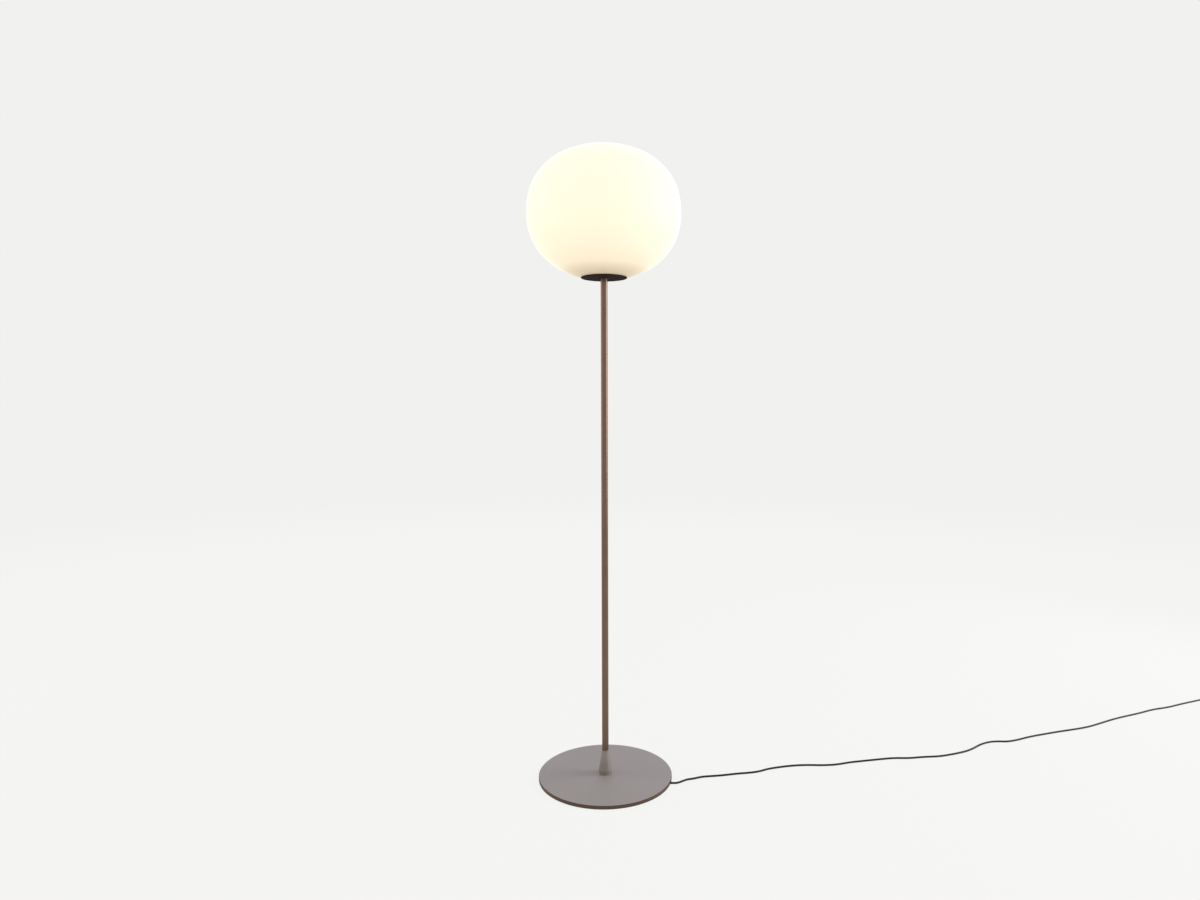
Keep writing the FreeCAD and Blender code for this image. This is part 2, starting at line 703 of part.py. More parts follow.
# ---------------------------------------------------------------- lampholder
def make_lampholder():
    inner = "holder_r - holder_wall"
    turned_body("lampholder_cap", [
        ("nipple_d / 2 + fit_gap", "0"), ("holder_land_r", "0"),
        ("holder_r", "holder_round", "holder_round"),
        ("holder_r", "holder_cap_h"), (inner, "holder_cap_h"), (inner, "holder_round"),
        ("holder_land_r", "holder_floor"), ("nipple_d / 2 + fit_gap", "holder_floor"),
    ], "holder_base")
    turned_body("lampholder_skirt", [
        (inner + " - holder_wall", "0"), (inner + " - fit_gap", "0"),
        (inner + " - fit_gap", "holder_lap"), ("holder_r", "holder_lap"),
        ("holder_r", "holder_skirt_h - holder_edge"), ("holder_r - holder_edge", "holder_skirt_h"),
        (inner + " - holder_wall", "holder_skirt_h"),
    ], "skirt_base")
    insert = new_body("lampholder_insert", "skirt_base")
    disc = new_sketch(insert, "XY_Plane")
    draw_circle(disc, "2 * (holder_r - 2 * holder_wall - 2 * fit_gap)")
    pad(insert, disc, "holder_insert_t")
    doc.recompute()
    for side in ("", "-"):
        way = new_sketch(insert, "XY_Plane")
        draw_circle(way, "core_d + 2 * fit_gap", side + "terminal_circle_d / 2")
        pocket(insert, way, "holder_insert_t / 2")
        screw = new_sketch(insert, "XY_Plane", "holder_insert_t")
        draw_circle(screw, "terminal_d + 2 * fit_gap", side + "terminal_circle_d / 2")
        pocket(insert, screw, "holder_insert_t / 2", upwards=False)
    ring_body("lampholder_thread", "2 * (sleeve_bore_r + sleeve_wall)", "2 * sleeve_bore_r",
              "sleeve_length", "insert_top")


def make_terminals():
    """Two terminal screws, the centre contact and the two cores that come to the terminals."""
    half = size("holder_insert_t") / 2
    spread = size("terminal_circle_d") / 2
    screw_d = size("terminal_d")
    grip = size("terminal_grip")
    slot_w = size("terminal_slot")
    screw = Part.makeCylinder(screw_d / 2, half - grip, Vector(spread, 0, half + grip))
    slot = Part.makeBox(screw_d, slot_w, slot_w, Vector(spread - screw_d / 2, -slot_w / 2, 2 * half - slot_w))
    shape_part("terminal_screws", round_axis(screw.cut(slot), 2),
               Placement(Vector(0, 0, size("skirt_base")), Rotation()))
    length = size("contact_l")
    width = size("contact_w")
    thick = size("contact_t")
    tongue_z = size("contact_h") - thick - size("floor_gap")
    back = -size("contact_back")
    foot = Part.makeBox(length, width, thick, Vector(back, -width / 2, 0))
    riser = Part.makeBox(thick, width, tongue_z, Vector(back + length - thick, -width / 2, 0))
    tongue = Part.makeBox(length, width, thick, Vector(back, -width / 2, tongue_z))
    shape_part("lampholder_contact", foot.fuse(riser).fuse(tongue).removeSplitter(),
               Placement(Vector(0, 0, size("insert_top")), Rotation()))
    start = size("lead_top")
    room = size("skirt_base") - start
    end = size("skirt_base") + half - grip
    near = size("core_d") / 2 + size("floor_gap")
    cores = []
    for side in (-1, 1):
        route = [Vector(side * near, 0, start), Vector(side * near, 0, start + room * size("core_part")),
                 Vector(side * spread, 0, start + room * size("core_apart")),
                 Vector(side * spread, 0, end)]
        cores.append(tube_along(route, size("core_d")))
    shape_part("lead_cores", Part.makeCompound(cores))


# ---------------------------------------------------------------- bulb
def make_bulb():
    """A frosted bulb: tip contact, insulator, cap, and an envelope of even wall."""
    turned_body("bulb_contact", [
        ("0", "0"), ("bulb_tip_d / 2 - bulb_edge", "0"), ("bulb_tip_d / 2", "bulb_tip_h"),
        ("0", "bulb_tip_h")], "bulb_base")
    turned_body("bulb_insulator", [
        ("0", "0"), ("bulb_tip_d / 2", "0"), ("bulb_cap_r - bulb_edge", "bulb_insulator_h"),
        ("0", "bulb_insulator_h")], "bulb_base + bulb_tip_h")
    turned_body("bulb_cap", [
        ("0", "0"), ("bulb_cap_r - bulb_edge", "0"), ("bulb_cap_r", "bulb_edge"), ("bulb_cap_r", "bulb_cap_h"),
        ("bulb_cap_r - bulb_wall", "bulb_cap_h"), ("bulb_cap_r - bulb_wall", "bulb_wall"),
        ("0", "bulb_wall")], "cap_base")
    ball = "(bulb_d / 2)"
    hollow = "(bulb_d / 2 - bulb_wall)"
    level = "(bulb_length - bulb_tip_h - bulb_insulator_h - bulb_cap_h - bulb_d / 2)"
    joint = "(bulb_shoulder)"
    neck = "(bulb_cap_r - bulb_neck_in)"
    side = "sqrt(%s * %s - %s * %s)"
    turned_body("bulb_envelope", [
        ("0", "0"), (neck, "0"), ("bulb_cap_r + bulb_neck_out", "bulb_neck_h"),
        (side % (ball, ball, joint, joint), level + " - " + joint, "-bulb_neck_r"),
        ("0", level + " + " + ball, ball),
        ("0", level + " + " + hollow),
        (side % (hollow, hollow, joint, joint), level + " - " + joint, "-" + hollow),
        (neck + " - bulb_wall", "bulb_neck_h"),
        (neck + " - bulb_wall", "bulb_wall"), ("0", "bulb_wall"),
    ], "cap_top")


# ---------------------------------------------------------------- globe
def meridian(radius, crown, belly, mouth_r):
    """The globe's outline from its mouth to its widest level, and from there to its top."""
    spans = []
    open_angle = math.asin((1 - (mouth_r / radius) ** size("belly_power")) ** 0.5)
    for height, power, low, high in ((belly, size("belly_power"), -open_angle, 0.0),
                                     (crown, size("crown_power"), 0.0, math.pi / 2)):
        points = []
        for number in range(MERIDIAN_STEPS + 1):
            angle = low + (high - low) * number / MERIDIAN_STEPS
            across = radius * max(math.cos(angle), 0.0) ** (2 / power)
            up = math.copysign(height * abs(math.sin(angle)) ** (2 / power), angle)
            points.append(Vector(across, up, 0))
        spans.append(points)
    spans[0][-1] = spans[1][0] = Vector(radius, 0, 0)
    spans[1][-1] = Vector(0, crown, 0)
    return spans


def make_globe():
    """Opal glass: an oval shell of even wall, open below, with a flat ground ring to stand on."""
    wall = size("globe_wall")
    outer = meridian(size("globe_r"), size("globe_crown"), size("globe_belly"), size("land_r"))
    inner = meridian(size("globe_r") - wall, size("globe_crown") - wall, size("globe_belly") - wall,
                     size("mouth_r"))
    body = new_body("globe_glass", "globe_level")
    sketch = new_sketch(body, "XZ_Plane")
    for belly, crown in (outer, inner):
        lower = Part.BSplineCurve()
        mouth_way = (belly[1] - belly[0]).normalize()
        lower.interpolate(Points=belly, InitialTangent=mouth_way, FinalTangent=Vector(0, 1, 0))
        upper = Part.BSplineCurve()
        upper.interpolate(Points=crown, InitialTangent=Vector(0, 1, 0), FinalTangent=Vector(-1, 0, 0))
        sketch.addGeometry(lower, False)
        sketch.addGeometry(upper, False)
    land = [outer[0][0], Vector(size("mouth_r"), outer[0][0].y, 0), inner[0][0]]
    for start, end in zip(land, land[1:]):
        sketch.addGeometry(Part.LineSegment(start, end), False)
    sketch.addGeometry(Part.LineSegment(inner[1][-1], outer[1][-1]), False)
    turn(body, sketch)


# ---------------------------------------------------------------- cord
def rounded_wire(points):
    """Straight runs joined by tangent arcs, each as large as its two runs allow. Returns radii too."""
    edges = []
    radii = []
    place = points[0]
    for before, corner, after in zip(points, points[1:], points[2:]):
        back = before - corner
        ahead = after - corner
        cut = ARC_SHARE * min(back.Length, ahead.Length)
        back.normalize()
        ahead.normalize()
        half_turn = (math.pi - back.getAngle(ahead)) / 2
        radius = cut / math.tan(half_turn)
        start = corner + back * cut
        end = corner + ahead * cut
        inward = (back + ahead).normalize()
        centre_gap = radius / math.cos(half_turn)
        middle = corner + inward * (centre_gap - radius)
        edges.append(Part.LineSegment(place, start).toShape())
        edges.append(Part.Arc(start, middle, end).toShape())
        radii.append(radius)
        place = end
    edges.append(Part.LineSegment(place, points[-1]).toShape())
    return Part.Wire(edges), radii


def sweep_round(wire, start, direction, diameter):
    """A round section pushed along a wire as one solid."""
    ring = Part.Wire(Part.Circle(start, direction, diameter / 2).toShape())
    tube = wire.makePipeShell([ring], True, False)
    expected = math.pi * diameter ** 2 / 4 * wire.Length
    if abs(tube.Volume / expected - 1) > 0.01:
        raise RuntimeError("tube volume %g, expected %g" % (tube.Volume, expected))
    return tube


def tube_along(points, diameter):
    wire, _ = rounded_wire(points)
    return sweep_round(wire, points[0], points[1] - points[0], diameter)


def cord_part(label, points):
    wire, radii = rounded_wire(points)
    tube = sweep_round(wire, points[0], points[1] - points[0], size("cord_d"))
    shape_part(label, tube)
    print("%s: length %.0f mm, least radius %.1f mm" % (label, wire.Length, min(radii)))
    return wire.Length


def heading(angle):
    """A level unit vector, from an angle in degrees."""
    return Vector(math.cos(math.radians(angle)), math.sin(math.radians(angle)), 0)


def at_height(point, height):
    return Vector(point.x, point.y, height)


def follow(start, steps):
    """A level route from a point, given as lengths and directions."""
    points = [start]
    for length, angle in steps:
        points.append(points[-1] + heading(angle) * length)
    return points


def make_stem_lead():
    """The sheathed lead that base and stem hold: along the base's channel, up the stem."""
    bend = size("lead_bend")
    rise = size("exit_rise")
    end = size("bushing_end")
    corner = Vector(bend * (1 - math.sqrt(0.5)), 0, rise + bend * (1 - math.sqrt(0.5)))
    edges = [
        Part.LineSegment(Vector(end, 0, rise), Vector(bend, 0, rise)).toShape(),
        Part.Arc(Vector(bend, 0, rise), corner, Vector(0, 0, rise + bend)).toShape(),
        Part.LineSegment(Vector(0, 0, rise + bend), Vector(0, 0, size("lead_top"))).toShape(),
    ]
    tube = sweep_round(Part.Wire(edges), Vector(end, 0, rise), Vector(-1, 0, 0), size("cord_d"))
    shape_part("stem_lead", tube, Placement(Vector(), Rotation(Vector(0, 0, 1), size("exit_angle"))))


def coil_point(turned):
    """Point and direction on the coil's centre line after an angle of winding, clockwise."""
    total = 2 * math.pi * size("coil_turns")
    pitch = size("coil_pitch")
    outer = size("coil_outer_r")
    half = total / 2
    inwards = turned <= half
    depth = turned if inwards else total - turned
    radius = outer - pitch * depth / (2 * math.pi)
    slope = -pitch / (2 * math.pi) if inwards else pitch / (2 * math.pi)
    if abs(turned - half) < 1e-9:
        slope = 0.0
    climb = min(max((turned - half) / math.pi + 0.5, 0.0), 1.0)
    level = size("coil_level") + pitch * climb
    rising = pitch / math.pi if abs(turned - half) < math.pi / 2 - 1e-9 else 0.0
    angle = math.radians(size("coil_start")) - turned
    outward = Vector(math.cos(angle), math.sin(angle), 0)
    along = Vector(math.sin(angle), -math.cos(angle), 0)
    direction = along * radius + outward * slope + Vector(0, 0, rising)
    return outward * radius + Vector(0, 0, level), direction.normalize()


def biarc(start, start_dir, end, end_dir):
    """Two arcs that join two points with given directions."""
    gap = end - start
    both = start_dir + end_dir
    a = 2 * (1 - start_dir.dot(end_dir))
    b = 2 * gap.dot(both)
    c = -gap.dot(gap)
    reach = -c / b if abs(a) < 1e-9 else (-b + math.sqrt(b * b - 4 * a * c)) / (2 * a)
    first = start + start_dir * reach
    second = end - end_dir * reach
    middle = (first + second) / 2
    arcs = []
    for low, apex, high in ((start, first, middle), (middle, second, end)):
        chord_middle = (low + high) / 2
        half_chord = (high - low).Length / 2
        height = (apex - chord_middle).Length
        bulge = half_chord * math.tan(math.atan2(height, half_chord) / 2)
        arcs.append(Part.Arc(low, chord_middle + (apex - chord_middle) * (bulge / height), high).toShape())
    return arcs


def coil_gap(points, diameter):
    """Least gap of the coil to itself, measured between points more than half a turn apart."""
    per_turn = len(points) / size("coil_turns")
    least = math.inf
    for number, point in enumerate(points):
        for other in points[number + int(per_turn / 2):]:
            least = min(least, (point - other).Length)
    return least - diameter


def make_coil(start):
    """The put-away length in two layers: in at the bottom, out at the top. Its start meets a point.

    Returns the coil's centre, the point and direction in which it ends, and its length.
    """
    diameter = size("cord_d")
    quarters = int(round(size("coil_turns") * 4))
    stations = [coil_point(math.pi / 2 * number) for number in range(quarters + 1)]
    first, first_dir = stations[0]
    last, last_dir = stations[-1]
    first_dir = at_height(first_dir, 0).normalize()
    last_dir = at_height(last_dir, 0).normalize()
    tip = first - first_dir * diameter
    tail = last + last_dir * diameter
    edges = [Part.LineSegment(tip, first).toShape()]
    for (low, low_dir), (high, high_dir) in zip(stations, stations[1:]):
        edges += biarc(low, low_dir, high, high_dir)
    edges.append(Part.LineSegment(last, tail).toShape())
    wire = Part.Wire(edges)
    centre = at_height(start - tip, 0)
    shape_part("cord_coil", sweep_round(wire, tip, first_dir, diameter), Placement(centre, Rotation()))
    turned = 2 * math.pi * size("coil_turns")
    samples = [coil_point(turned * number / COIL_SAMPLES)[0] for number in range(COIL_SAMPLES + 1)]
    gap = coil_gap(samples, diameter)
    print("cord_coil: length %.0f mm, least gap to itself %.2f mm" % (wire.Length, gap))
    return centre, tail + centre, last_dir, wire.Length


def make_tie(centre):
    """A strap round the bundle of turns."""
    pitch = size("coil_pitch")
    inner_r = size("coil_outer_r") - pitch * size("coil_turns") / 2
    gap = size("tie_gap")
    thick = size("tie_t")
    low = inner_r - size("cord_r") - gap
    high = size("coil_outer_r") + size("cord_r") + gap
    bottom = size("coil_level") - size("cord_r") - gap
    top = size("coil_level") + pitch + size("cord_r") + gap
    width = size("tie_w")
    ring = Part.makeBox(high - low + 2 * thick, width, top - bottom + 2 * thick,
                        Vector(low - thick, -width / 2, bottom - thick))
    ring = ring.makeFillet(size("tie_round"), [edge for edge in ring.Edges if edge.Length == width])
    hole = Part.makeBox(high - low, width, top - bottom, Vector(low, -width / 2, bottom))
    shape_part("cord_tie", ring.cut(hole),
               Placement(centre, Rotation(Vector(0, 0, 1), size("tie_angle"))))


def make_cord():
    """The free lead: from the bushing to the foot switch, on to the coil, and to the plug."""
    out = heading(size("exit_angle")) * size("bushing_end")
    along = heading(size("switch_turn"))
    switch = Vector(size("switch_x"), size("switch_y"), size("switch_cord_z"))
    inside = along * (size("switch_r") - size("switch_gland_l"))
    run = [at_height(out, size("exit_rise"))]
    run += [Vector(x, y, size("cord_level") if height is LYING else height) for x, y, height in RUN_ROUTE]
    run.append(switch - inside)
    total = cord_part("cord_run", run)

    tail = follow(switch + inside, TAIL_STEPS)
    coil_way = at_height(coil_point(0.0)[1], 0).normalize()
    tail.append(tail[-1] + coil_way * COIL_RUN)
    tail[2:] = [at_height(point, size("coil_level")) for point in tail[2:]]
    total += cord_part("cord_tail", tail)

    centre, coil_end, end_way, length = make_coil(tail[-1])
    end = [coil_end] + follow(coil_end + end_way * COIL_RUN, END_STEPS)
    end[2:] = [at_height(point, size("plug_level")) for point in end[2:]]
    total += length + cord_part("cord_end", end)
    print("free lead: %.0f mm in all" % (total + 2 * inside.Length))
    make_tie(centre)
    return end[-1], heading(END_STEPS[-1][1])


# ---------------------------------------------------------------- foot switch
def switch_body(label, base="0"):
    """A body on the foot switch's own axis, turned with the cord that runs through it."""
    body = new_body(label, base, "switch_turn")
    body.setExpression("Placement.Base.x", bound("switch_x"))
    body.setExpression("Placement.Base.y", bound("switch_y"))
    return body


def make_switch():
    inner = "switch_r - switch_wall"
    base = switch_body("switch_base")
    cup = new_sketch(base, "XZ_Plane")
    draw_outline(cup, [
        ("0", "0"), ("switch_r - switch_edge", "0"), ("switch_r", "switch_edge"),
        ("switch_r", "switch_base_h"), (inner, "switch_base_h"), (inner, "switch_wall"),
        ("0", "switch_wall")])
    turn(base, cup)
    add_bosses(base, "switch_base_h", "switch_base_h")
    sink = new_sketch(base, "XY_Plane")
    draw_circle(sink, "switch_head_d + 2 * switch_head_gap", "switch_screw_at", "switch_screw_at")
    ring_pattern(base, pocket(base, sink, "switch_head_h + floor_gap"), "switch_screw_count")
    way = new_sketch(base, "YZ_Plane")
    draw_circle(way, "cord_d + 2 * fit_gap", "0", "switch_cord_z")
    pocket(base, way, "switch_d + switch_wall", both_ways=True)

    cover = switch_body("switch_cover", "switch_base_h")
    dome = new_sketch(cover, "XZ_Plane")
    hole_r = "button_d / 2 + button_gap"
    shoulder = "switch_cover_h - switch_round"
    inner_round = "(switch_round - switch_wall)"
    draw_outline(dome, [
        (inner, "0"), ("switch_r", "0"), ("switch_r", shoulder),
        ("switch_r - switch_round", "switch_cover_h", "switch_round"), (hole_r, "switch_cover_h"),
        (hole_r, "switch_cover_h - switch_wall"), ("switch_r - switch_round", "switch_cover_h - switch_wall"),
        (inner, shoulder, "-" + inner_round)])
    turn(cover, dome)
    add_bosses(cover, "switch_cover_h - switch_wall + floor_gap",
               "switch_screw_l - switch_base_h + switch_edge")

    button = switch_body("switch_button", "switch_base_h")
    stub = new_sketch(button, "XZ_Plane")
    foot = "module_top - plunger_in - switch_base_h"
    flange_low = "flange_rise - button_flange_t"
    flange_r = "button_d / 2 + button_flange_w"
    crown = "switch_cover_h + button_rise"
    draw_outline(stub, [
        ("0", foot), ("plunger_d / 2", foot), ("plunger_d / 2", flange_low), (flange_r, flange_low),
        (flange_r, "flange_rise"), ("button_d / 2", "flange_rise"),
        ("button_d / 2", "switch_cover_h + button_skirt"), ("0", crown, "button_crown_r")])
    turn(button, stub)

    module = switch_body("switch_module", "switch_wall")
    block = new_sketch(module, "XY_Plane")
    draw_box(block, "-module_w / 2", "module_w / 2", "module_w")
    pad(module, block, "module_h")
    bore = new_sketch(module, "XY_Plane", "module_h")
    draw_circle(bore, "plunger_d + 2 * button_gap")
    pocket(module, bore, "plunger_in + button_travel + switch_edge", upwards=False)


def add_bosses(body, height, hole_depth):
    """Four screw bosses, each with a hole from below."""
    boss = new_sketch(body, "XY_Plane")
    draw_circle(boss, "switch_boss_d", "switch_screw_at", "switch_screw_at")
    ring_pattern(body, pad(body, boss, height), "switch_screw_count")
    hole = new_sketch(body, "XY_Plane")
    draw_circle(hole, "switch_screw_d + 2 * fit_gap", "switch_screw_at", "switch_screw_at")
    ring_pattern(body, pocket(body, hole, hole_depth), "switch_screw_count")


def make_switch_screws():
    at = size("switch_screw_at")
    head = Part.makeCylinder(size("switch_head_d") / 2, size("switch_head_h"))
    shank = Part.makeCylinder(size("switch_screw_d") / 2, size("switch_screw_l"))
    slot_w = size("switch_slot")
    slot = Part.makeBox(size("switch_head_d"), slot_w, slot_w,
                        Vector(-size("switch_head_d") / 2, -slot_w / 2, 0))
    screw = head.fuse(shank).removeSplitter().cut(slot)
    screw.translate(Vector(at, at, size("floor_gap")))
    shape_part("switch_screws", round_axis(screw, size("switch_screw_count")), switch_placement())


def switch_placement():
    """Where the foot switch stands."""
    return Placement(Vector(size("switch_x"), size("switch_y"), 0),
                     Rotation(Vector(0, 0, 1), size("switch_turn")))


def make_switch_cores():
    """One core runs past the contact block; the other ends at it from both sides."""
    near = size("core_d") / 2 + size("floor_gap")
    level = size("switch_cord_z")
    start = size("switch_r") - size("switch_gland_l")
    apart = start - size("core_straight")
    block = size("module_w") / 2
    past = block + size("core_d")
    passing = [Vector(-start, -near, level), Vector(-apart, -near, level), Vector(-block, -past, level),
               Vector(block, -past, level), Vector(apart, -near, level), Vector(start, -near, level)]
    cores = [tube_along(passing, size("core_d"))]
    for side in (-1, 1):
        joined = [Vector(side * start, near, level), Vector(side * apart, near, level),
                  Vector(side * (block + size("button_gap")), near + size("core_d"), level)]
        cores.append(tube_along(joined, size("core_d")))
    shape_part("switch_cores", Part.makeCompound(cores), switch_placement())


# ---------------------------------------------------------------- plug
def make_plug(start, way):
    """A flat two-pin plug. Its own X axis runs from the cord's end to the pins' tips."""
    turned = Rotation(Vector(1, 0, 0), way)
    body = doc.addObject("PartDesign::Body", "plug_body")
    body.Label = "plug_body"
    body.Placement = Placement(start, turned)
    sleeve = new_sketch(body, "XZ_Plane")
    draw_outline(sleeve, [("0", "0"), ("0", "sleeve_tip_d / 2"), ("plug_sleeve_l", "sleeve_root_d / 2"),
                          ("plug_sleeve_l + plug_root", "sleeve_root_d / 2"),
                          ("plug_sleeve_l + plug_root", "0")])
    turn(body, sleeve, "H_Axis")
    outline = new_sketch(body, "XY_Plane", "-plug_t / 2")
    nose = "plug_nose / 2"
    side = "plug_w / 2"
    front = "plug_front"
    draw_outline(outline, [
        ("plug_sleeve_l", "-" + nose), ("plug_sleeve_l + plug_taper", "-" + side), (front, "-" + side),
        (front, side), ("plug_sleeve_l + plug_taper", side), ("plug_sleeve_l", nose)])
    pad(body, outline, "plug_t")
    doc.recompute()
    half = size("plug_t") / 2
    rims = [number for number, edge in enumerate(body.Shape.Edges, start=1)
            if abs(abs(body.Placement.inverse().multVec(edge.CenterOfMass).z) - half) < 1e-4]
    dress(body, "Fillet", ["Edge%d" % number for number in rims], "plug_round")
    for side_sign in ("", "-"):
        bore = new_sketch(body, "YZ_Plane", front)
        draw_circle(bore, "pin_core_d + 2 * fit_gap", side_sign + "pin_spacing / 2")
        pocket(body, bore, "pin_root", upwards=False)
    place = Placement(start, turned)
    front_x = size("plug_front")
    pins = []
    sleeves = []
    for side_sign in (-1, 1):
        across = side_sign * size("pin_spacing") / 2
        axis = Vector(1, 0, 0)
        core = Part.makeCylinder(size("pin_core_d") / 2, size("pin_root") + size("pin_sleeve_l"),
                                 Vector(front_x - size("pin_root"), across, 0), axis)
        bare = size("pin_length") - size("pin_sleeve_l")
        tip = Part.makeCylinder(size("pin_d") / 2, bare,
                                Vector(front_x + size("pin_sleeve_l"), across, 0), axis)
        last = front_x + size("pin_length")
        rim = [edge for edge in tip.Edges if abs(edge.CenterOfMass.x - last) < 1e-6]
        tip = tip.makeChamfer(size("pin_edge"), rim)
        pins.append(core.fuse(tip).removeSplitter())
        collar = Part.makeCylinder(size("pin_sleeve_d") / 2, size("pin_sleeve_l"),
                                   Vector(front_x, across, 0), axis)
        bore = Part.makeCylinder(size("pin_core_d") / 2 + size("fit_gap") / 2, size("pin_sleeve_l"),
                                 Vector(front_x, across, 0), axis)
        sleeves.append(collar.cut(bore))
    shape_part("plug_pins", Part.makeCompound(pins), place)
    shape_part("plug_pin_sleeves", Part.makeCompound(sleeves), place)


# ---------------------------------------------------------------- checks and export
def sub_parts():
    return [item for item in doc.Objects
            if item.TypeId == "PartDesign::Body" or item.TypeId == "Part::Feature"]


def check_model():
    """Stop if any feature failed or any sub-part's shape is missing or broken."""
    doc.recompute()
    for item in doc.Objects:
        if "Invalid" in item.State or "Error" in item.State:
            raise RuntimeError("%s (%s) failed: %s" % (item.Label, item.Name, item.State))
    for item in sub_parts():
        if item.Shape.isNull() or not item.Shape.isValid():
            raise RuntimeError("%s has no valid shape" % item.Label)


def export_parts():
    os.makedirs("parts", exist_ok=True)
    for item in sub_parts():
        item.Shape.exportStep(os.path.join("parts", item.Label + ".step"))
    print("%d sub-parts written" % len(sub_parts()))


fill_sheet()
make_base_pad()
make_base_plate()
make_cord_bushing()
make_stem_collar()
make_collar_screws()
make_grub_screw()
make_stem()
make_stem_lead()
make_support_plate()
make_head_fasteners()
make_gasket()
make_springs()
make_lampholder()
make_terminals()
make_bulb()
make_globe()
cord_end, cord_way = make_cord()
make_switch()
make_switch_screws()
make_switch_cores()
make_plug(cord_end, cord_way)
check_model()
export_parts()
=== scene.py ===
"""Looks of the globe floor lamp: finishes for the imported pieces, the glass, the threads and the mains lead.

Metres, +Z up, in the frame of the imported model: the origin is on the floor, on the stem's axis. +X is to the
right and +Y away from someone who faces the lamp.
"""
import json
import math

import bmesh
import bpy
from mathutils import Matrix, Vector


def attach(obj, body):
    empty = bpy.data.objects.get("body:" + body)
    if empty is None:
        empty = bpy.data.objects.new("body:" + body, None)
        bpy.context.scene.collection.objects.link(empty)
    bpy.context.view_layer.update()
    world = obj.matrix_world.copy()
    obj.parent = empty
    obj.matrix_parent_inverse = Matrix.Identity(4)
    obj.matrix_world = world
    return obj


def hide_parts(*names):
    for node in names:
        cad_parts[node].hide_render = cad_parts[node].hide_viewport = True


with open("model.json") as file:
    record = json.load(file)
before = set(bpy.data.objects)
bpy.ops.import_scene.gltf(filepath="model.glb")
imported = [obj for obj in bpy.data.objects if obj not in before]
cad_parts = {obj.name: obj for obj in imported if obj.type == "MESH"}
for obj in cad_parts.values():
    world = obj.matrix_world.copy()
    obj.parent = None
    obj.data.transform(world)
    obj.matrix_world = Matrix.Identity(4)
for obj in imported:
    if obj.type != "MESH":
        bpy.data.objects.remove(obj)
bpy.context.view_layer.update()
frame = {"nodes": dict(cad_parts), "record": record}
nodes = frame["nodes"]
scene = bpy.context.scene
MM = 0.001

# ---------------------------------------------------------------- camera
CAMERA_AT = (0.0491, -1.7014, 0.8292)
CAMERA_DOWN = 5.60                    # degrees below level
CAMERA_LENS = 23.88                   # mm
CAMERA_SENSOR = 36.0                  # mm wide
CAMERA_SHIFT = (-0.0229, 0.0254)
CAMERA_REACH = 100.0                  # it sees no farther than this

# ---------------------------------------------------------------- backdrop
BACKDROP = (0.880, 0.880, 0.866)      # what the camera sees behind the lamp
FLOOR_GLOW = (0.988, 0.988, 0.973)    # the same, on the floor round the lamp, where it takes shadows
FLOOR_PLAIN = (0.914, 0.914, 0.899)   # and beyond them
FLOOR_ALBEDO = (0.80, 0.80, 0.79)
FLOOR_R = 40.0
FLOOR_SIDES = 96
SHADOW_SHARE = 0.16                   # part of the floor's look that the light makes, near the lamp
SHADOW_NEAR = 1.9                     # from this distance on, that part fades out
SHADOW_FAR = 2.8
FADE_NEAR = 1.6                       # beyond this distance the floor fades into the backdrop
FADE_FAR = 6.0

# ---------------------------------------------------------------- the lead's route, in millimetres
CORD_D = 4.4
CORD_ARCS = 6                         # resolution of its round section
CORD_STEPS = 8                        # and between two points of its route
LYING = CORD_D / 2 + 0.1              # level of its centre where it lies on the floor
BUSHING_TIP = (144.89, -38.82, 3.9)
RUN_ROUTE = [
    (155.3, -41.6, 3.8), (175.1, -24.8, 3.1), (182.4, -19.6, 2.6), (193.7, -16.4, LYING),
    (213.9, -6.9, LYING), (235, -4, LYING), (262, 0, LYING), (292, 7.5, LYING), (325, 12.5, LYING),
    (347, 19, LYING), (367, 31, LYING), (392, 39, LYING), (420, 46.5, LYING), (457, 51, LYING),
    (497, 49, LYING), (529, 52.5, LYING), (561, 64, LYING), (598, 72, LYING), (638, 80.5, LYING),
    (672, 87, LYING), (707, 85.5, LYING), (742, 92.5, LYING), (781, 95, LYING), (818, 107, LYING),
    (855, 122, LYING), (880, 138.5, LYING), (906, 160.5, LYING), (933, 175, LYING),
    (957, 179, LYING), (979, 176.5, LYING), (1010, 187, LYING), (1048, 205.5, LYING),
    (1092, 221, LYING), (1142, 238, LYING), (1190, 252, LYING), (1232, 267, LYING),
    (1272, 288, LYING), (1318, 313, LYING), (1364, 334, LYING), (1420, 357, LYING),
    (1470, 382, LYING), (1522, 397, LYING), (1576, 422, LYING), (1630, 444, LYING),
    (1668, 460, LYING), (1704, 463, LYING), (1737, 449, 2.6), (1753, 417, 4.4),
    (1745.3, 382.7, 6.5),
]
SWITCH_AT = Vector((1720.0, 335.0, 6.5))
SWITCH_TURN = -118.0                  # direction of the lead through the switch, degrees
SWITCH_INSIDE = 25.0                  # from the switch's centre to the lead's ends in it
TAIL_STEPS = [(20, -118), (24, -132)]  # from the switch to the coil: lengths and directions in degrees
END_STEPS = [(20, -126), (18, -132)]  # from the coil to the plug
COIL_RUN = 20.0                       # straight run on both sides of the coil
COIL_TURNS = 4
COIL_OUTER_R = 30.5                   # to the centre of the outermost turn
COIL_PITCH = 4.95                     # from turn to turn and from layer to layer
COIL_START = -30.0                    # where the lead meets the coil, degrees about its centre
COIL_LEVEL = 3.2                      # of the lower layer
COIL_POINTS = 24                      # control points per turn
COIL_DRIFT = -1.48                    # its turns' slope at both ends against a circle, degrees
PLUG_LEVEL = 6.95                     # of the lead where it enters the plug

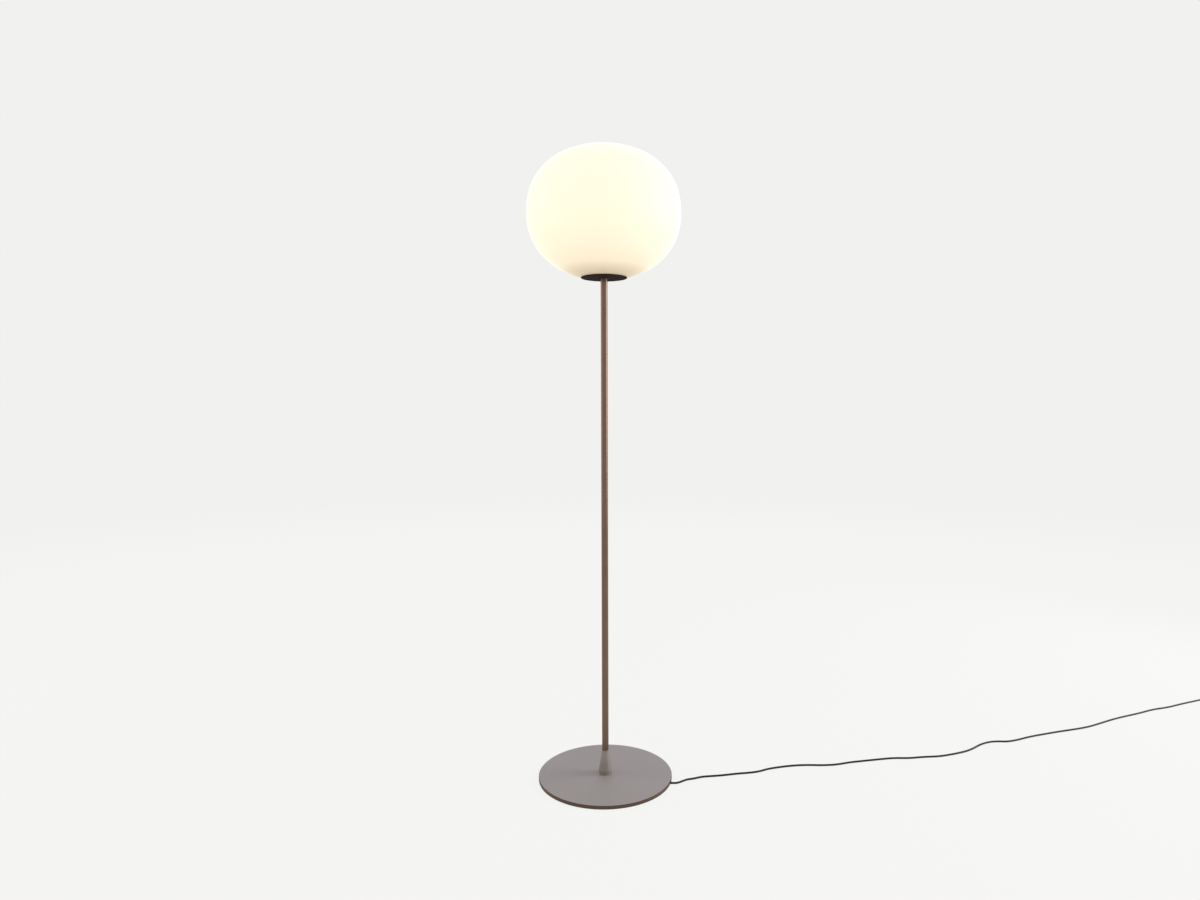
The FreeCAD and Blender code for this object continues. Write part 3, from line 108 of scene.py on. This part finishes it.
# ---------------------------------------------------------------- E27 thread, in millimetres
THREAD_PITCH = 3.629
THREAD_DEPTH = 1.0
THREAD_STEPS = 12                     # points in one turn's wave
THREAD_SIDES = 72
THREAD_PLAY = 0.65                    # from the bulb's cap to the outside of the shell round it
CAP_R = 13.0
CAP_WALL = 0.3
CAP_ROUND = 1.0                       # its lowest stretch is rounded inwards
CAP_PLAIN = 3.0                       # and its highest has no thread
CAP_RUNOUT = 2.0                      # the thread fades out over this length below that
CAP_LOW, CAP_TOP = 1128.2, 1150.2
SHELL_WALL = 0.25
SHELL_LOW, SHELL_TOP = 1120.2, 1145.2

# ---------------------------------------------------------------- strap round the coil, in millimetres
TIE_GAP = 0.3                         # from the lead
TIE_T = 0.6
TIE_W = 6.0
TIE_ROUND = 1.0                       # inner radius of its corners
TIE_STEPS = 6                         # in the round of each corner
TIE_ANGLE = 130.0                     # its place on the coil, degrees

# ---------------------------------------------------------------- light and finishes
ROOM_LIGHT = (0.42, 0.42, 0.42)       # what lights matt surfaces from all round
LIGHTS = [                            # name, place, width, height, watts, tint
    ("window_right", (4.0, 0.16, 1.78), 2.08, 3.04, 97.0, (1.0, 0.99, 0.99)),
    ("window_left", (-4.0, 0.16, 1.65), 1.84, 2.72, 31.0, (1.0, 0.93, 0.86)),
]
LIT_POINT = (0, 0, 0.9)               # where the lights point
TONE_LOW, TONE_HIGH = 0.7, 1.3        # sum of a finish's two noises at its darkest and at its lightest
BASE_TOP = (0.405, 0.375, 0.375)
# painted shade and reflection: the base's side gets this darker, browner colour in place of real shading
BASE_SIDE_PAINTED_SHADE = (0.12, 0.068, 0.047)
BASE_FACING = (0.90, 0.995)           # how far up a place faces: up to the first it is edge, with its painted shade and reflection, from the second on it is top
                                      # second on it is top
STEM_COLOUR = (0.175, 0.115, 0.083)
COLLAR_COLOUR = (0.33, 0.285, 0.26)
GLOBE_BODY = (0.30, 0.30, 0.30)
GLOBE_SPAN = (1.0904, 1.350)          # its lowest and its highest level, metres
GLOBE_GLOW = [(0.0, (0.46, 0.34, 0.18)), (0.04, (0.67, 0.54, 0.34)), (0.07, (0.83, 0.69, 0.48)),
              (0.11, (0.85, 0.73, 0.51)), (0.16, (0.88, 0.77, 0.56)), (0.31, (0.88, 0.83, 0.60)),
              (0.46, (0.88, 0.85, 0.64)), (1.0, (0.88, 0.86, 0.68))]
BULB_SPAN = (1.150, 1.228)
BULB_GLOW = [(0.0, (0.35, 0.25, 0.14)), (0.3, (0.95, 0.80, 0.52)), (1.0, (1.0, 0.90, 0.66))]


def heading(angle):
    """A level unit vector, from an angle in degrees."""
    return Vector((math.cos(math.radians(angle)), math.sin(math.radians(angle)), 0))


def at_height(point, height):
    """The point's place at another level."""
    return Vector((point.x, point.y, height))


def follow(start, steps):
    """A level route from a point, given as lengths and directions."""
    points = [start]
    for length, angle in steps:
        points.append(points[-1] + heading(angle) * length)
    return points


# ---------------------------------------------------------------- shader helpers
def add_node(tree, kind, inputs=None, **settings):
    """A shader node with its settings and its input values or links, by socket name or number."""
    node = tree.nodes.new("ShaderNode" + kind)
    for name, value in settings.items():
        setattr(node, name, value)
    for name, value in (inputs or {}).items():
        if isinstance(value, bpy.types.NodeSocket):
            tree.links.new(value, node.inputs[name])
        else:
            node.inputs[name].default_value = value
    return node


def solid(colour):
    return (*colour, 1.0)


def mixed(tree, factor, first, second):
    """Two colours mixed by a factor."""
    return add_node(tree, "Mix", {0: factor, 6: first, 7: second}, data_type="RGBA").outputs[2]


def spread(tree, value, low, high, start=0.0, end=1.0, smooth=False):
    """A value taken from start..end to low..high."""
    kind = "SMOOTHSTEP" if smooth else "LINEAR"
    return add_node(tree, "MapRange", {"Value": value, "From Min": start, "From Max": end, "To Min": low,
                                       "To Max": high}, interpolation_type=kind).outputs[0]


def ramp(tree, factor, stops):
    """A colour ramp over a factor, from (position, colour) stops."""
    node = add_node(tree, "ValToRGB", {"Fac": factor})
    elements = node.color_ramp.elements
    elements.remove(elements[1])
    elements[0].position, elements[0].color = stops[0][0], solid(stops[0][1])
    for position, colour in stops[1:]:
        elements.new(position).color = solid(colour)
    return node.outputs["Color"]


def seen_directly(tree):
    """1 for camera, glossy and transmission rays, 0 for the rays that light the object."""
    path = add_node(tree, "LightPath")
    either = add_node(tree, "Math", {0: path.outputs["Is Camera Ray"], 1: path.outputs["Is Glossy Ray"]},
                      operation="MAXIMUM").outputs[0]
    return add_node(tree, "Math", {0: either, 1: path.outputs["Is Transmission Ray"]},
                    operation="MAXIMUM").outputs[0]


# ---------------------------------------------------------------- camera, light, backdrop
def make_camera():
    """The camera of the lamp's front view."""
    data = bpy.data.cameras.new("camera")
    data.lens = CAMERA_LENS
    data.sensor_width = CAMERA_SENSOR
    data.shift_x, data.shift_y = CAMERA_SHIFT
    data.clip_end = CAMERA_REACH
    camera = bpy.data.objects.new("camera", data)
    camera.location = CAMERA_AT
    camera.rotation_euler = (math.radians(90.0 - CAMERA_DOWN), 0, 0)
    scene.collection.objects.link(camera)
    scene.camera = camera


def make_world():
    """Even light from all round, and the plain backdrop that the camera and reflections see."""
    scene.view_settings.view_transform = "Standard"
    world = bpy.data.worlds.new("studio")
    scene.world = world
    world.use_nodes = True
    tree = world.node_tree
    tree.nodes.clear()
    colour = mixed(tree, seen_directly(tree), solid(ROOM_LIGHT), solid(BACKDROP))
    sky = add_node(tree, "Background", {"Color": colour, "Strength": 1.0})
    out = add_node(tree, "OutputWorld")
    tree.links.new(sky.outputs[0], out.inputs["Surface"])


def make_floor():
    """A wide pale disc. It takes part of the object's shadow, and fades into the backdrop far off."""
    shape = bmesh.new()
    bmesh.ops.create_circle(shape, cap_ends=True, segments=FLOOR_SIDES, radius=FLOOR_R)
    mesh = bpy.data.meshes.new("floor")
    shape.to_mesh(mesh)
    shape.free()
    floor = bpy.data.objects.new("floor", mesh)
    scene.collection.objects.link(floor)
    material = bpy.data.materials.new("floor")
    material.use_nodes = True
    tree = material.node_tree
    tree.nodes.clear()
    where = add_node(tree, "TexCoord").outputs["Object"]
    far = add_node(tree, "VectorMath", {0: where}, operation="LENGTH").outputs["Value"]
    fade = spread(tree, far, 0.0, 1.0, FADE_NEAR, FADE_FAR, smooth=True)
    bare = spread(tree, far, 0.0, 1.0, SHADOW_NEAR, SHADOW_FAR, smooth=True)
    pale = mixed(tree, bare, solid(FLOOR_GLOW), solid(FLOOR_PLAIN))
    glow = add_node(tree, "Emission", {"Color": mixed(tree, fade, pale, solid(BACKDROP))})
    matt = add_node(tree, "BsdfDiffuse", {"Color": solid(FLOOR_ALBEDO)})
    shaded = spread(tree, bare, SHADOW_SHARE, 0.0)
    seen = add_node(tree, "MixShader", {0: shaded, 1: glow.outputs[0], 2: matt.outputs[0]})
    either = add_node(tree, "MixShader", {0: seen_directly(tree), 1: matt.outputs[0], 2: seen.outputs[0]})
    out = add_node(tree, "OutputMaterial")
    tree.links.new(either.outputs[0], out.inputs["Surface"])
    mesh.materials.append(material)


def make_lights():
    """Two soft window-like lights."""
    for name, place, width, height, power, tint in LIGHTS:
        data = bpy.data.lights.new(name, "AREA")
        data.shape = "RECTANGLE"
        data.size, data.size_y = width, height
        data.energy = power
        data.color = tint
        light = bpy.data.objects.new(name, data)
        light.location = place
        light.rotation_euler = (Vector(LIT_POINT) - Vector(place)).to_track_quat("-Z", "Y").to_euler()
        light.visible_camera = False
        scene.collection.objects.link(light)


# ---------------------------------------------------------------- finishes
def finish(name, colour, roughness, metallic=0.0, tint=0.10, patch=18.0, grain=1200.0, stretch=(1, 1, 1),
           spread_rough=0.06, bump=0.15, depth=0.00005, **sockets):
    """A surface with a fine grain and slow patches in its colour, its roughness and its relief.

    patch and grain are in cycles per metre, and stretch gives the grain a direction.
    """
    material = bpy.data.materials.new(name)
    material.use_nodes = True
    tree = material.node_tree
    shader = tree.nodes["Principled BSDF"]
    where = add_node(tree, "TexCoord").outputs["Object"]
    along = add_node(tree, "Mapping", {"Vector": where, "Scale": stretch}).outputs["Vector"]
    fine = add_node(tree, "TexNoise", {"Vector": along, "Scale": grain, "Detail": 3.0}).outputs["Fac"]
    slow = add_node(tree, "TexNoise", {"Vector": where, "Scale": patch, "Detail": 2.0}).outputs["Fac"]
    both = add_node(tree, "Math", {0: fine, 1: slow}, operation="ADD").outputs[0]
    light = tuple(min(value * (1 + tint), 1.0) for value in colour)
    dark = tuple(value * (1 - tint) for value in colour)
    tone = mixed(tree, spread(tree, both, 0.0, 1.0, TONE_LOW, TONE_HIGH), solid(dark), solid(light))
    tree.links.new(tone, shader.inputs["Base Color"])
    rough = spread(tree, both, roughness - spread_rough, roughness + spread_rough, TONE_LOW, TONE_HIGH)
    tree.links.new(rough, shader.inputs["Roughness"])
    relief = add_node(tree, "Bump", {"Strength": bump, "Distance": depth, "Height": fine})
    tree.links.new(relief.outputs["Normal"], shader.inputs["Normal"])
    shader.inputs["Metallic"].default_value = metallic
    for socket, value in sockets.items():
        shader.inputs[socket.replace("_", " ")].default_value = value
    return material


def base_finish():
    """Satin metal: a pale, finely ground top, and an edge painted darker and browner as painted shade and
    reflection.
    """
    material = finish("base", BASE_TOP, 0.60, 0.3, tint=0.05, patch=9.0, grain=1500.0, depth=0.00003)
    tree = material.node_tree
    shader = tree.nodes["Principled BSDF"]
    top = shader.inputs["Base Color"].links[0].from_socket
    where = add_node(tree, "SeparateXYZ", {0: add_node(tree, "TexCoord").outputs["Normal"]}).outputs["Z"]
    flat = spread(tree, where, 0.0, 1.0, *BASE_FACING)
    # where the surface faces sideways it takes the painted shade and reflection colour
    tree.links.new(mixed(tree, flat, solid(BASE_SIDE_PAINTED_SHADE), top), shader.inputs["Base Color"])
    return material


def lit(material, span, stops):
    """Let a surface glow, in the stops' colours over a span of height in metres."""
    tree = material.node_tree
    shader = tree.nodes["Principled BSDF"]
    height = add_node(tree, "SeparateXYZ", {0: add_node(tree, "TexCoord").outputs["Object"]}).outputs["Z"]
    share = spread(tree, height, 0.0, 1.0, *span)
    tree.links.new(ramp(tree, share, stops), shader.inputs["Emission Color"])
    shader.inputs["Emission Strength"].default_value = 1.0
    return material


def globe_finish():
    """Opal glass lit from inside: warm, paler towards the top and dimmer above the plate."""
    glass = finish("globe", GLOBE_BODY, 0.28, tint=0.004, patch=3.0, grain=30.0, spread_rough=0.02,
                   bump=0.02, Specular_IOR_Level=0.06)
    return lit(glass, GLOBE_SPAN, GLOBE_GLOW)


def bulb_finish():
    """A frosted bulb, lit."""
    glass = finish("bulb_glass", (0.9, 0.88, 0.84), 0.35, tint=0.01, patch=8.0, grain=800.0)
    return lit(glass, BULB_SPAN, BULB_GLOW)


def make_finishes():
    drawn = (1, 1, 0.012)
    return {
        "collar": finish("collar", COLLAR_COLOUR, 0.48, 0.6, tint=0.08, patch=40.0, grain=1800.0,
                         stretch=(0.05, 0.05, 1)),
        "pad": finish("pad", (0.035, 0.034, 0.033), 0.85, grain=900.0, bump=0.5, depth=0.0002),
        "base": base_finish(),
        "stem": finish("stem", STEM_COLOUR, 0.30, 0.92, tint=0.10, patch=14.0, grain=1800.0, stretch=drawn,
                       depth=0.00002),
        "plate": finish("plate", (0.021, 0.010, 0.008), 0.85, tint=0.15, grain=1400.0, bump=0.3,
                        Specular_IOR_Level=0.06),
        "screw": finish("screw", (0.52, 0.52, 0.50), 0.32, 0.95, patch=60.0, grain=2500.0),
        "brass": finish("brass", (0.72, 0.52, 0.24), 0.30, 0.95, tint=0.12, patch=60.0, grain=2500.0),
        "spring": finish("spring", (0.62, 0.62, 0.61), 0.22, 1.0, patch=40.0, grain=2000.0,
                         stretch=(1, 1, 0.05)),
        "gasket": finish("gasket", (0.72, 0.71, 0.69), 0.55, patch=60.0, grain=900.0),
        "holder": finish("holder", (0.018, 0.018, 0.018), 0.34, patch=50.0, grain=1600.0, bump=0.25),
        "ceramic": finish("ceramic", (0.82, 0.81, 0.77), 0.25, tint=0.04, patch=50.0, grain=1500.0),
        "core": finish("core", (0.06, 0.09, 0.28), 0.4, patch=70.0, grain=1500.0),
        "bulb_tip": finish("bulb_tip", (0.62, 0.62, 0.60), 0.36, 0.95, patch=150.0, grain=2500.0, bump=0.4,
                           depth=0.0002),
        "bulb_black": finish("bulb_black", (0.015, 0.015, 0.018), 0.12, patch=80.0, grain=900.0),
        "bulb_cap": finish("bulb_cap", (0.70, 0.70, 0.71), 0.26, 0.97, patch=60.0, grain=2000.0),
        "bulb_glass": bulb_finish(),
        "globe": globe_finish(),
        "cord": finish("cord", (0.030, 0.016, 0.012), 0.55, tint=0.2, patch=30.0, grain=1500.0, bump=0.3,
                       Specular_IOR_Level=0.25),
        "cord_rubber": finish("cord_rubber", (0.028, 0.022, 0.020), 0.6, tint=0.15, grain=1400.0, bump=0.4),
        "tie": finish("tie", (0.022, 0.022, 0.023), 0.9, tint=0.25, grain=3200.0, bump=0.9, depth=0.0004),
        "switch_shell": finish("switch_shell", (0.024, 0.021, 0.019), 0.5, tint=0.15, grain=2600.0, bump=0.6,
                               depth=0.0001),
        "switch_button": finish("switch_button", (0.030, 0.026, 0.024), 0.33, patch=60.0, grain=2200.0),
        "switch_inner": finish("switch_inner", (0.78, 0.77, 0.72), 0.45, patch=60.0, grain=1500.0),
        "plug": finish("plug", (0.024, 0.021, 0.019), 0.48, tint=0.15, grain=2600.0, bump=0.6,
                       depth=0.0001),
        "plug_pin": finish("plug_pin", (0.74, 0.71, 0.66), 0.2, 1.0, patch=90.0, grain=2400.0,
                           stretch=(0.3, 0.3, 1)),
    }


def paint_nodes(finishes):
    """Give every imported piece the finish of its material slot."""
    for part in frame["record"]["subparts"]:
        for held in nodes[part["node"]].material_slots:
            held.material = finishes[part["material_slot"]]
    nodes["stem_collar"].material_slots[0].material = finishes["collar"]


# ---------------------------------------------------------------- pieces
def add_piece(name, data, finishes, slot, body):
    """A new piece with its finish, riding on a body."""
    piece = bpy.data.objects.new(name, data)
    scene.collection.objects.link(piece)
    data.materials.append(finishes[slot])
    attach(piece, body)
    return piece


def smooth_mesh(name, points, faces):
    """A smooth-shaded mesh."""
    mesh = bpy.data.meshes.new(name)
    mesh.from_pydata(points, [], faces)
    mesh.polygons.foreach_set("use_smooth", [True] * len(mesh.polygons))
    mesh.update()
    return mesh


def cord_curve(name, route):
    """A round lead along a route in millimetres, as one smooth spline."""
    curve = bpy.data.curves.new(name, "CURVE")
    curve.dimensions = "3D"
    curve.bevel_depth = CORD_D / 2 * MM
    curve.bevel_resolution = CORD_ARCS
    curve.resolution_u = CORD_STEPS
    curve.use_fill_caps = True
    spline = curve.splines.new("NURBS")
    spline.points.add(len(route) - 1)
    for point, place in zip(spline.points, route):
        point.co = (place[0] * MM, place[1] * MM, place[2] * MM, 1.0)
    spline.order_u = 3
    spline.use_endpoint_u = True
    return curve


def coil_point(turned):
    """A point on the coil about its own centre after an angle of winding, clockwise, in two layers."""
    half = math.pi * COIL_TURNS
    depth = turned if turned <= half else 2 * half - turned
    radius = (COIL_OUTER_R - COIL_PITCH * depth / (2 * math.pi)) / math.cos(math.pi / COIL_POINTS)
    climb = min(max((turned - half) / math.pi + 0.5, 0.0), 1.0)
    return at_height(heading(COIL_START - math.degrees(turned)) * radius, COIL_LEVEL + COIL_PITCH * climb)


def make_cords(finishes):
    """The lead from the bushing to the foot switch, and from there over the coil to the plug."""
    along = heading(SWITCH_TURN)
    run = [BUSHING_TIP] + RUN_ROUTE + [tuple(SWITCH_AT - along * SWITCH_INSIDE)]
    first = add_piece("lead_to_switch", cord_curve("lead_to_switch", run), finishes, "cord", "stand")
    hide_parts("cord_run")

    start = SWITCH_AT + along * SWITCH_INSIDE
    tail = follow(start, TAIL_STEPS)
    coil_way = heading(COIL_START - 90.0 + COIL_DRIFT)
    tail.append(tail[-1] + coil_way * COIL_RUN)
    tail[2:] = [at_height(point, COIL_LEVEL) for point in tail[2:]]
    centre = at_height(tail[-1] + coil_way * CORD_D - heading(COIL_START) * COIL_OUTER_R, 0)
    steps = COIL_TURNS * COIL_POINTS
    turns = [centre + coil_point(2 * math.pi * number / COIL_POINTS) for number in range(steps + 1)]
    end_way = heading(COIL_START - 90.0 - COIL_DRIFT)
    leave = centre + at_height(heading(COIL_START) * COIL_OUTER_R, COIL_LEVEL + COIL_PITCH) + end_way * CORD_D
    end = [leave] + follow(leave + end_way * COIL_RUN, END_STEPS)
    end[2:] = [at_height(point, PLUG_LEVEL) for point in end[2:]]
    route = [tuple(point) for point in tail + turns + end]
    second = add_piece("lead_to_plug", cord_curve("lead_to_plug", route), finishes, "cord", "stand")
    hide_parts("cord_tail", "cord_coil", "cord_end")
    tie = make_tie(centre, finishes)


def make_tie(centre, finishes):
    """A woven strap round the coil's turns."""
    inner = COIL_OUTER_R - COIL_PITCH * COIL_TURNS / 2 - CORD_D / 2 - TIE_GAP
    outer = COIL_OUTER_R + CORD_D / 2 + TIE_GAP
    low = COIL_LEVEL - CORD_D / 2 - TIE_GAP
    high = COIL_LEVEL + COIL_PITCH + CORD_D / 2 + TIE_GAP
    loop = []
    for corner, (x, z) in enumerate(((outer, high), (inner, high), (inner, low), (outer, low))):
        inset_x = -TIE_ROUND if x == outer else TIE_ROUND
        inset_z = -TIE_ROUND if z == high else TIE_ROUND
        for step in range(TIE_STEPS + 1):
            angle = math.radians(90.0 * (corner + step / TIE_STEPS))
            loop.append((x + inset_x, z + inset_z, math.cos(angle), math.sin(angle)))
    profile = [(-TIE_W / 2, 0.0), (TIE_W / 2, 0.0), (TIE_W / 2, TIE_T), (-TIE_W / 2, TIE_T)]
    turn = math.radians(TIE_ANGLE)
    points = []
    for x, z, out_x, out_z in loop:
        for across, lift in profile:
            reach = TIE_ROUND + lift
            local = Vector((x + out_x * reach, across, z + out_z * reach))
            placed = Vector((local.x * math.cos(turn) - local.y * math.sin(turn),
                             local.x * math.sin(turn) + local.y * math.cos(turn), local.z))
            points.append((placed + centre) * MM)
    count = len(profile)
    faces = []
    for number in range(len(loop)):
        after = (number + 1) % len(loop)
        for side in range(count):
            beside = (side + 1) % count
            faces.append((number * count + side, number * count + beside, after * count + beside,
                          after * count + side))
    tie = add_piece("coil_strap", smooth_mesh("coil_strap", points, faces), finishes, "tie", "stand")
    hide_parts("cord_tie")
    return tie


def threaded_tube(name, low, high, radius_at, wall):
    """A thin threaded tube between two levels, in millimetres, about the stem's axis."""
    rows = int((high - low) / THREAD_PITCH * THREAD_STEPS)
    points = []
    for side in (0.0, wall):
        for row in range(rows + 1):
            level = low + (high - low) * row / rows
            for column in range(THREAD_SIDES):
                angle = 2 * math.pi * column / THREAD_SIDES
                radius = radius_at(level, angle) - side
                points.append((radius * math.cos(angle) * MM, radius * math.sin(angle) * MM, level * MM))
    layer = (rows + 1) * THREAD_SIDES
    faces = []
    for column in range(THREAD_SIDES):
        beside = (column + 1) % THREAD_SIDES
        for row in range(rows):
            below, above = row * THREAD_SIDES, (row + 1) * THREAD_SIDES
            faces.append((below + column, below + beside, above + beside, above + column))
            faces.append((layer + below + column, layer + above + column, layer + above + beside,
                          layer + below + beside))
        top = rows * THREAD_SIDES
        faces.append((column, layer + column, layer + beside, beside))
        faces.append((top + column, top + beside, layer + top + beside, layer + top + column))
    return smooth_mesh(name, points, faces)


def thread_wave(level, angle):
    """Depth of the thread's valley at a place, right-handed."""
    return THREAD_DEPTH / 2 * (1 - math.cos(2 * math.pi * level / THREAD_PITCH - angle))


def make_threads(finishes):
    """The bulb's cap and the lampholder's screw shell, with their thread."""
    def cap_radius(level, angle):
        fade = min(1.0, max(0.0, (CAP_TOP - CAP_PLAIN - level) / CAP_RUNOUT))
        foot = max(0.0, 1.0 - (level - CAP_LOW) / CAP_ROUND) ** 2
        return CAP_R - CAP_ROUND * foot - thread_wave(level, angle) * fade * (1 - foot)

    def shell_radius(level, angle):
        return CAP_R + THREAD_PLAY - thread_wave(level, angle)

    cap_mesh = threaded_tube("bulb_cap_threaded", CAP_LOW, CAP_TOP, cap_radius, CAP_WALL)
    cap = add_piece("bulb_cap_threaded", cap_mesh, finishes, "bulb_cap", "bulb")
    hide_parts("bulb_cap")
    shell_mesh = threaded_tube("screw_shell", SHELL_LOW, SHELL_TOP, shell_radius, SHELL_WALL)
    shell = add_piece("screw_shell", shell_mesh, finishes, "brass", "stand")
    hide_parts("lampholder_thread")


make_camera()
looks = make_finishes()
make_cords(looks)
make_world()
make_floor()
make_lights()
paint_nodes(looks)
make_threads(looks)
